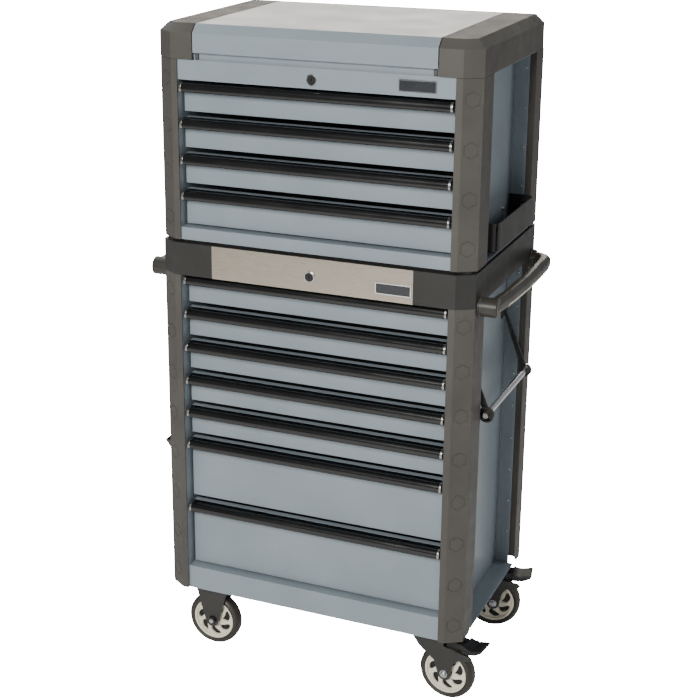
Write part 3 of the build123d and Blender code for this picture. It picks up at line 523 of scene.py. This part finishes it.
def pull_section(top):
    """Hooked section of the extrusion: forward distance and height."""
    low = top - 21.5
    outer = [(201.6, top)] + bend((215.1, top - 11.5), 11.5, 90, 0) + bend((219.6, low + 7.0), 7.0, 0, -90)
    inner = [(216.5, low), (216.5, low + 2.2)] + bend((219.4, low + 7.0), 4.8, -90, 0)
    hook = bend((215.1, top - 11.5), 9.1, 0, 90)
    return outer + inner + hook + [(204.0, top - 2.4), (204.0, low), (201.6, low)]


for name in PULLS:
    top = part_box(name)[1].z / MM
    bm = bmesh.new()
    sweep(bm, [Vector((-285.3, 0, 0)), Vector((285.3, 0, 0))], pull_section(top))
    bar = bevelled(as_object(name + "_bar", bm, PULL, 40), 0.35, 2, 50)
    fitted(bar, body_of_node[name], "pull_black", name)
    bm = bmesh.new()
    low = top - 21.7
    closed = [(201.6, top + 0.1)] + bend((215.1, top - 11.5), 11.7, 90, 0)
    closed += bend((219.6, low + 7.2), 7.2, 0, -90) + [(201.6, low)]
    for side in (-1, 1):
        ends = sorted((side * 285.4, side * 290.4))
        sweep(bm, [Vector((x, 0, 0)) for x in ends], closed)
    fitted(bevelled(as_object(name + "_ends", bm, NICKEL, 40), 0.8, 3, 50), body_of_node[name],
           "brushed_steel", name)

# ---------------------------------------------------------------- moulded covers
def hexagons(name, levels, y, radius, sink, height):
    """Six-sided prisms on the two front bevelled corners, sunk below their faces."""
    places = []
    for side in (-1, 1):
        facing = Vector((side * POST_SLOPE.x, POST_SLOPE.y, 0))
        places += [(Vector((side * BEVEL_X, -y, z)) - facing * sink, facing) for z in levels]
    return fasteners(name, places, COVERS, radius, height, sides=6, top=radius)


for node, levels, y in (("cabinet_posts", CABINET_HEX_Z, CABINET_BEVEL_Y),
                        ("chest_posts", CHEST_HEX_Z, CHEST_BEVEL_Y)):
    # A moulded groove in hexagon shape: a pocket with a raised centre left standing.
    post = as_object(node + "_shown", cad_copy(node), COVERS)
    pockets = hexagons(node + "_pockets", levels, y, radius=17.2, sink=1.1, height=4.0)
    bevelled(cut(post, pockets), 0.45, 2, 30)
    fitted(post, "carcass", "cover_plastic", node)
    raised = hexagons(node + "_hexagons", levels, y, radius=14.9, sink=1.4, height=1.3)
    fitted(bevelled(raised, 0.3, 2, 30), "carcass", "cover_plastic")

# Its darker plastic is painted shade from the side tray.
dressed("cabinet_collar", COLLAR_WITH_PAINTED_SHADE, "cover_plastic", 1.0)
dressed("cabinet_side_pocket", COVERS, "cover_plastic", 0.6)
dressed("chest_side_trays", TRAY, "black_steel", 1.0)
dressed("lid_end_caps", COVERS, "cover_plastic", 1.2, 3)
bm = cad_copy("lid_shell")
for vert in bm.verts:
    if abs(vert.co.x) > LID_JOINT_X * MM:
        vert.co.x = math.copysign((LID_JOINT_X - 1.0) * MM, vert.co.x)
fitted(bevelled(as_object("lid_shell_shown", bm, BODY), 1.6, 3), "lid", "body_steel", "lid_shell")
# Black sheets in the joint beside each end cap: painted shadow in the gap.
lid_gap_shadow_sheets = boxes("lid_gap_painted_shadow", [
    ((side * (LID_JOINT_X - 2.0), side * (LID_JOINT_X + 1.2)), along, tall) for side in (-1, 1)
    for along, tall in (((-219.5, 214.0), (1364.0, 1398.0)), ((-205.0, 203.0), (1398.2, 1416.4)))
], PULL, 0.3)
fitted(lid_gap_shadow_sheets, "lid", "black_steel")
dressed("collar_steel_strip", STRIP, "brushed_steel", 0.4)

# ---------------------------------------------------------------- worktop mat and liners
dressed("worktop_mat", MAT, "mat_rubber", 0.8)

for name in DRAWERS:
    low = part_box(name)[0] / MM
    floor_z = low.z + 6.0 + 1.2              # the tray's clearance and its sheet
    liner = ribbed(
        name + "_liner", 92, (0, -182.0, floor_z + 1.9), (0, 4.15, 0), (556, 2.0, 0.8), LINER,
        base=((-280.4, 280.4), (-185.0, 198.4), (floor_z + 0.1, floor_z + 1.6)),
    )
    fitted(liner, name, "mat_rubber")
till_liner = ribbed(
    "till_liner", 100, (0, -208.0, 1312.2), (0, 4.15, 0), (566, 2.0, 0.8), LINER,
    base=((-284.0, 284.0), (-210.0, 205.0), (1310.3, 1311.9)),
)
fitted(till_liner, "carcass", "mat_rubber")

# ---------------------------------------------------------------- lid hinges, badges and locks
dressed("hinge_fixed_leaves", ZINC, "zinc_steel", 0.3, 1)
dressed("hinge_lid_leaves", ZINC, "zinc_steel", 0.3, 1)

bm = cad_copy("badge_plates")
for low, high in sorted(map(extents, solids(bm)), key=lambda corners: corners[0].z):
    # A plain plate: a bright raised border round a dark enamelled field, the lowest plate first.
    place = "upper" if low.z > 1200 else "lower"
    border = 2.2
    deep, between = (low.y, high.y), (low.z + border, high.z - border)
    ring = boxes(f"badge_frame_{place}", [
        ((low.x, high.x), deep, (high.z - border, high.z)), ((low.x, high.x), deep, (low.z, low.z + border)),
        ((low.x, low.x + border), deep, between), ((high.x - border, high.x), deep, between),
    ], CHROME, 0.35)
    fitted(ring, "carcass", "badge", "badge_plates")
    field = boxes(f"badge_field_{place}", [
        ((low.x + border, high.x - border), (low.y + 0.8, high.y), between),
    ], FIELD, 0.3)
    fitted(field, "carcass", "badge", "badge_plates")
bm.free()

for node in ("chest_lock", "cabinet_lock"):
    low, high = (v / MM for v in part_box(node))
    x, z, front = (low.x + high.x) / 2, (low.z + high.z) / 2, low.y
    facing = frame_along((x, front, z), (0, -1, 0))
    bm = bmesh.new()
    lathe(bm, [(9.3, -8.0), (9.3, 0.0), (9.7, 0.5), (10.5, 0.5), (11.0, 0.1), (11.0, -6.0), (10.0, -8.0)],
          facing, 56)
    fitted(as_object(node + "_ring", bm, CHROME), node, "chrome", node)
    bm = bmesh.new()
    face = [(9.2, -0.6), (8.4, -0.1), (6.6, -0.1), (6.2, -0.6), (5.8, 0.2), (0, 0.2)]
    lathe(bm, [(0, -7.0), (9.2, -7.0)] + face, facing, 56, closed=False)
    core = as_object(node + "_core", bm, LOCK_CORE)
    keyway = ((x - 0.9, x + 0.9), (front - 3, front + 4), (z - 4.2, z + 4.2))
    slot_cut = boxes("key_slot", [keyway], LOCK_CORE, 0)
    slot_cut.modifiers.clear()
    cut(core, slot_cut)
    fitted(bevelled(core, 0.25), node, "chrome", node)

# ---------------------------------------------------------------- push handles
def bow(side, outward, rise):
    """Points along the bowed grip, moved outward and up from its centre line."""
    steps, start, end = 36, 0.16, 0.97       # the pale strips stop short of both bosses
    points = []
    for i in range(steps + 1):
        t = start + (end - start) * i / steps
        point = GRIP_FRONT * (1 - t) * (1 - 2 * t) + GRIP_MIDDLE * 4 * t * (1 - t)
        point += GRIP_REAR * t * (2 * t - 1)
        ahead = GRIP_FRONT * (4 * t - 3) + GRIP_MIDDLE * (4 - 8 * t) + GRIP_REAR * (4 * t - 1)
        out = Vector((ahead.y, -ahead.x, 0)).normalized()
        point = point + out * outward + Vector((0, 0, rise))
        points.append(Vector((side * point.x, point.y, point.z)))
    return points


dressed("push_handles", GRIP, "grip_plastic", 1.0, 2)
# Pale strips run along the lower outer side of each grip.
bm = bmesh.new()
for side in (-1, 1):
    for rise, outward, half in ((-7.0, 12.5, 1.3), (-11.0, 10.5, 0.6)):
        strip = [(-1.2, -half), (1.2, -half), (1.2, half), (-1.2, half)]
        sweep(bm, bow(side, outward, rise), strip)
fitted(bevelled(as_object("push_handle_pale_strips", bm, PALE_GRIP_STRIP), 0.3), "carcass", "grip_plastic")
bm = bmesh.new()
for side in (-1, 1):
    for y in (GRIP_FRONT.y, GRIP_REAR_BOSS_Y):
        foot = frame_along((side * 345.0, y, GRIP_Z), (side, 0, 0))
        lathe(bm, [(14.5, -1.6), (20.5, -1.6), (20.5, 1.0), (19.7, 1.8), (14.5, 1.8)], foot, 56)
    end = frame_along((side * 381.2, GRIP_FRONT.y, GRIP_Z), (side, 0, 0))
    lathe(bm, [(0, -0.6), (15.0, -0.6), (15.5, 0.4), (14.9, 1.2), (0, 1.2)], end, 48, closed=False)
fitted(as_object("push_handle_collars", bm, GRIP), "carcass", "grip_plastic")

# ---------------------------------------------------------------- roll holder
dressed("roll_holder_arms", BLACK, "black_steel", 0.8)
dressed("roll_holder_bar", CHROME, "chrome", 0.5)
bm = bmesh.new()
for y, face, r in ROLL_ARMS:
    seat = frame_along((ROLL_X, y + face * 3.2, ROLL_Z), (0, face, 0))
    lathe(bm, [(0, 0.0), (r, 0.0), (r, 4.0), (r - 1.4, 5.6), (0, 5.6)], seat, 48, closed=False)
fitted(as_object("roll_holder_discs", bm, BLACK), "roll_holder_bar", "black_steel")
roll_bolts = [((ROLL_X, y + face * 10.6, ROLL_Z), (0, face, 0)) for y, face, _ in ROLL_ARMS]
fitted(bevelled(fasteners("roll_holder_hex_bolts", roll_bolts, ZINC, 6.2, 4.0, 6, 6.2), 0.4),
       "roll_holder_bar", "zinc_steel")

# ---------------------------------------------------------------- casters
def joint_place(name):
    """Pivot of a joint, in millimetres."""
    joint = next(j for j in frame["joints"] if j["name"] == name)
    return Vector(joint["pos_m"]) / MM


def prism(bm, outline, y0, y1):
    """A side outline of (x, z) points carried from y0 to y1, in millimetres."""
    near = [bm.verts.new(Vector((x, y0, z)) * MM) for x, z in outline]
    far = [bm.verts.new(Vector((x, y1, z)) * MM) for x, z in outline]
    bm.faces.new(near)
    bm.faces.new(list(reversed(far)))
    for i in range(len(outline)):
        k = (i + 1) % len(outline)
        bm.faces.new((near[i], far[i], far[k], near[k]))


def standing(bm, spot, yaw_deg):
    """Put a caster part made about its mounting axis in its place."""
    place = Matrix.Translation(Vector((spot[0], spot[1], 0)) * MM)
    bmesh.ops.transform(bm, matrix=place @ Matrix.Rotation(math.radians(yaw_deg), 4, "Z"), verts=bm.verts)
    return bm


def axle_ends(bm, x):
    """Domed bolt heads on washers, outside both legs."""
    for side in (-1, 1):
        seat = frame_along((x, side * LEG_OUTSIDE, AXLE_Z), (0, side, 0))
        lathe(bm, [(0, 0.0), (8.8, 0.0), (8.8, 1.4), (6.8, 1.6), (6.5, 4.4), (4.6, 6.2), (0, 6.8)],
              seat, 40, closed=False)


def leg(x, toe, shoulders):
    """Outline of one fork leg: round about the axle at x, up to its shoulders."""
    rounded = bend((x, AXLE_Z), toe, 200, 340, 14)
    return rounded + shoulders


SWIVELS = {"front": (CASTER_X, -CASTER_Y, -7.5), "rear": (CASTER_X, CASTER_Y, 11.0)}     # place and turn
for end, (x, y, yaw) in SWIVELS.items():
    bm = bmesh.new()
    brake_horn = [(57.0, 70.0), (62.0, 92.0), (74.0, 103.0), (98.0, 107.0), (103.0, 112.0), (99.0, 119.0)]
    crown = [(66.0, 124.0), (52.0, 124.0), (40.0, 128.0), (34.0, 146.9), (-30.0, 146.9), (-33.0, 134.0)]
    side_view = leg(TRAIL, 15.0, brake_horn + crown + [(-14.0, 110.0), (16.0, 90.0)])
    for low, high in ((-LEG_OUTSIDE, -LEG_INSIDE), (LEG_INSIDE, LEG_OUTSIDE)):
        prism(bm, side_view, low, high)
    web = [(-34.0, 147.0), (-34.5, 133.0), (-18.0, 112.0), (-15.5, 114.0), (-31.0, 135.0), (-30.5, 147.0)]
    prism(bm, web, -LEG_OUTSIDE, LEG_OUTSIDE)
    prism(bm, [(-30.0, 142.0), (34.0, 142.0), (34.0, 147.0), (-30.0, 147.0)], -18.1, 18.1)
    shell = bevelled(as_object(f"swivel_fork_{end}_shell", standing(bm, (x, y), yaw), BLACK), 1.3, 3)
    fitted(shell, f"swivel_{end}", "black_steel", f"swivel_fork_{end}")
    bm = bmesh.new()
    axle_ends(bm, TRAIL)
    fitted(as_object(f"swivel_axle_{end}", standing(bm, (x, y), yaw), ZINC), f"swivel_{end}", "zinc_steel")
    bm = bmesh.new()
    lathe(bm, [(8.0, 147.1), (27.0, 147.1), (30.5, 148.6), (30.5, 150.0), (28.5, 151.2), (8.0, 151.2)],
          Matrix.Identity(4), 56)
    fitted(as_object(f"swivel_race_{end}", standing(bm, (x, y), yaw), ZINC), f"swivel_{end}", "zinc_steel")
    bm = bmesh.new()
    stem = [(43.5, 128.6), (84.0, 127.6), (87.0, 133.0), (85.0, 141.5), (58.0, 145.0), (44.0, 140.0)]
    prism(bm, stem, -17.3, 17.3)
    under_toe = [(82.0, 127.2), (97.0, 126.2), (112.0, 129.0), (125.5, 136.5), (128.5, 140.5)]
    prism(bm, under_toe + [(124.0, 143.0), (104.0, 138.6), (92.0, 139.5), (83.0, 143.0)], -24.5, 24.5)
    fitted(bevelled(as_object(f"brake_pedal_{end}_shown", standing(bm, (x, y), yaw), PEDAL), 1.8, 3),
           f"brake_pedal_{end}", "grip_plastic", f"brake_pedal_{end}")
    grips = ribbed(f"brake_pedal_{end}_ribs", 5, (106.0, 0, 139.2), (3.9, 0, 0.82), (1.6, 42.0, 1.8), PEDAL)
    turn_in = Matrix.Translation(Vector((x, y, 0)) * MM) @ Matrix.Rotation(math.radians(yaw), 4, "Z")
    grips.data.transform(turn_in)
    fitted(grips, f"brake_pedal_{end}", "grip_plastic")

dressed("rigid_caster_forks", BLACK, "black_steel", 1.2)
dressed("swivel_caster_plates", ZINC, "zinc_steel", 0.8)
bm = bmesh.new()
for y in (-CASTER_Y, CASTER_Y):
    end_caps = bmesh.new()
    axle_ends(end_caps, 0.0)
    standing(end_caps, (-CASTER_X, y), 0.0)
    moved = bpy.data.meshes.new("axle_end")
    end_caps.to_mesh(moved)
    end_caps.free()
    bm.from_mesh(moved)
fitted(as_object("rigid_axles", bm, ZINC), "carcass", "zinc_steel")
plate_bolts = [
    ((CASTER_X + dx, y + dy, 153.6), (0, 0, -1))
    for y in (-CASTER_Y, CASTER_Y) for dx in (-37.0, 37.0) for dy in (-30.0, 30.0)
]
fitted(bevelled(fasteners("caster_plate_bolts", plate_bolts, ZINC, 6.4, 3.6, 6, 6.4), 0.4),
       "carcass", "zinc_steel")


# ---------------------------------------------------------------- wheels
def window(number):
    """One swept teardrop window of the rim, as (x, y) points in millimetres."""
    centre = 2 * math.pi * number / WINDOWS
    left, right = [], []
    for i in range(11):
        t = i / 10
        radius = 17.0 + 25.5 * t
        lean = centre + 0.46 * t ** 1.2
        half = (1.6 + 10.6 * math.sin(math.pi * min(1.0, t * 0.90 + 0.02) ** 1.7)) / radius
        left.append((radius * math.cos(lean - half), radius * math.sin(lean - half)))
        right.append((radius * math.cos(lean + half), radius * math.sin(lean + half)))
    return left + right[::-1]


def rim_disc(name):
    """The rim's web: a filled flat curve with its windows left open, given thickness and rounded edges."""
    curve = bpy.data.curves.new(name, "CURVE")
    curve.dimensions = "2D"
    curve.fill_mode = "BOTH"
    curve.extrude = 7.0 * MM
    curve.bevel_depth = 1.2 * MM
    curve.bevel_resolution = 1
    rounds = [[(r * math.cos(math.radians(a)), r * math.sin(math.radians(a))) for a in range(0, 360, 5)]
              for r in (44.6, 12.4)]
    for points in rounds + [window(i) for i in range(WINDOWS)]:
        spline = curve.splines.new("POLY")
        spline.points.add(len(points) - 1)
        for item, (x, y) in zip(spline.points, points):
            item.co = (x * MM, y * MM, 0, 1)
        spline.use_cyclic_u = True
    source = bpy.data.objects.new(name, curve)
    bpy.context.scene.collection.objects.link(source)
    bpy.context.view_layer.update()
    mesh = bpy.data.meshes.new_from_object(source.evaluated_get(bpy.context.evaluated_depsgraph_get()))
    bpy.data.objects.remove(source)
    return mesh


disc = rim_disc("rim_disc")
for name in WHEELS:
    joint = next(j for j in frame["joints"] if j["name"] == name + "_spin")
    axle = Vector(joint["axis"])
    seat = frame_along(joint_place(name + "_spin"), -axle if axle.y > 0 else axle)
    bm = bmesh.new()
    flank = [(48.2, 12.5), (54.0, 15.0), (59.0, 13.0), (61.6, 9.0), (62.5, 3.5)]
    lathe(bm, [(r, -h) for r, h in flank] + flank[::-1], seat, 96)
    fitted(as_object(name + "_tyre", bm, TYRE, 40), name, "wheel", name)
    bm = bmesh.new()
    bm.from_mesh(disc)
    bmesh.ops.transform(bm, matrix=seat, verts=bm.verts)
    lip = [(44.0, 12.0), (46.2, 13.0), (48.1, 12.6)]
    lathe(bm, [(r, -h) for r, h in lip] + lip[::-1], seat, 96)
    fitted(as_object(name + "_rim", bm, RIM, 40), name, "wheel", name)
    bm = bmesh.new()
    lathe(bm, [(6.1, -15.0), (12.0, -15.0), (14.0, -12.0), (14.0, 12.0), (12.0, 15.0), (6.1, 15.0)], seat, 56)
    # The black disc inside the rim's web shows only through its windows: painted shade behind them.
    lathe(bm, [(13.0, -3.0), (45.0, -3.0), (45.0, 3.0), (13.0, 3.0)], seat, 64)
    fitted(as_object(name + "_hub_and_shade_disc", bm, PEDAL, 40), name, "wheel")

# ---------------------------------------------------------------- rivets and screws
side_rivets = []
for side in (-1, 1):
    for z in range(240, 880, 78):
        side_rivets.append(((side * 322.0, 176.2, z), (0, -1, 0)))
        side_rivets.append(((side * 322.0, -142.3, z), (0, 1, 0)))
    for z in range(1060, 1330, 84):
        side_rivets.append(((side * 322.0, 164.2, z), (0, -1, 0)))
fitted(fasteners("side_rivets", side_rivets, ZINC, 2.6, 1.3, 16, 1.6), "carcass", "zinc_steel")
tray_screws = [((side * 326.0, 160.2, 1018.0), (0, -1, 0)) for side in (-1, 1)]
tray_screws += [((side * 296.6, y, 1018.0), (side, 0, 0)) for side in (-1, 1) for y in (-70.0, 120.0)]
fitted(fasteners("side_tray_screws", tray_screws, ZINC, 4.6, 2.4, 20, 3.2), "carcass", "zinc_steel")
back_screws = [((x, 223.6, z), (0, 1, 0)) for x in (-280.0, -94.0, 94.0, 280.0) for z in (175.0, 880.0)]
back_screws += [((x, 221.5, z), (0, 1, 0)) for x in (-280.0, -94.0, 94.0, 280.0) for z in (985.0, 1300.0)]
fitted(fasteners("back_panel_screws", back_screws, ZINC, 4.2, 1.6, 20, 2.8), "carcass", "zinc_steel")

# ---------------------------------------------------------------- stage, lights, camera
bm = bmesh.new()
add_box(bm, (-60000, 60000), (-60000, 60000), (-20, 0))
floor = as_object("studio_floor", bm, FLOOR)
# The sheet under the object is lit from behind: it looks near-white and adds no light to the object.
tree = FLOOR.node_tree
shader = tree.nodes["Principled BSDF"]
seen = add(tree, "ShaderNodeLightPath").outputs["Is Camera Ray"]
glow = add(tree, "ShaderNodeMath", {0: seen, 1: SHEET_GLOW}, operation="MULTIPLY").outputs["Value"]
shader.inputs["Emission Color"].default_value = linear("#FFFFFF")
tree.links.new(glow, shader.inputs["Emission Strength"])

world = bpy.data.worlds.new("studio")
bpy.context.scene.world = world
world.use_nodes = True
room = world.node_tree
sky = room.nodes["Background"]
sky.inputs["Color"].default_value = linear("#F6F7F8")
# The room is darker on the left, so only the right of the object takes light from the side.
way = add(room, "ShaderNodeTexCoord").outputs["Generated"]
across = add(room, "ShaderNodeSeparateXYZ", {"Vector": way}).outputs["X"]
level = add(room, "ShaderNodeMapRange", {
    "Value": across, "From Min": -1.0, "From Max": 1.0, "To Min": 0.05, "To Max": 0.54,
}).outputs["Result"]
# Seen directly, the room is as white as the sheet, so low views have no grey band above it.
seen = add(room, "ShaderNodeLightPath").outputs["Is Camera Ray"]
shown = add(room, "ShaderNodeMath", {0: seen, 1: SHEET_GLOW}, operation="MULTIPLY").outputs["Value"]
strength = add(room, "ShaderNodeMath", {0: level, 1: shown}, operation="MAXIMUM").outputs["Value"]
room.links.new(strength, sky.inputs["Strength"])


def softbox(name, place, target, size, power, tint="#FFFFFF"):
    """A rectangular area light aimed at a point, in metres."""
    light = bpy.data.lights.new(name, "AREA")
    light.shape = "RECTANGLE"
    light.size, light.size_y = size
    light.energy = power
    light.color = linear(tint)[:3]
    lamp = bpy.data.objects.new(name, light)
    lamp.location = place
    lamp.rotation_euler = (Vector(target) - Vector(place)).to_track_quat("-Z", "Y").to_euler()
    bpy.context.scene.collection.objects.link(lamp)


softbox("key_front", (0.15, -3.8, 2.7), (0, 0, 0.8), (0.9, 1.4), 245, "#FFFDF8")
softbox("side_fill", (3.3, 1.5, 2.6), (0.3, 0, 1.2), (0.8, 1.2), 32)
softbox("lid_glow", (-1.2, 3.1, 2.2), (0, 0, 1.4), (3.0, 0.8), 42, "#FFF6EA")
softbox("floor_wash", (-2.6, 1.0, 3.4), (-1.0, 0.6, 0.0), (2.6, 2.6), 60)

AZIMUTH, ELEVATION, ROLL = math.radians(24.0), math.radians(18.4), math.radians(-0.1)
back = Vector((math.sin(AZIMUTH) * math.cos(ELEVATION), -math.cos(AZIMUTH) * math.cos(ELEVATION),
               math.sin(ELEVATION)))
right = Vector((math.cos(AZIMUTH), math.sin(AZIMUTH), 0.0))
up = back.cross(right)
turn = Matrix((right, up, back)).transposed().to_4x4() @ Matrix.Rotation(ROLL, 4, "Z")
lens = bpy.data.cameras.new("camera")
lens.lens, lens.sensor_width = 78.73, 36.0
lens.shift_x, lens.shift_y = 0.0834, -0.0429
camera = bpy.data.objects.new("camera", lens)
camera.matrix_world = Matrix.Translation((1.1716, -2.9497, 1.8205)) @ turn
bpy.context.scene.collection.objects.link(camera)
bpy.context.scene.camera = camera

bpy.context.view_layer.update()
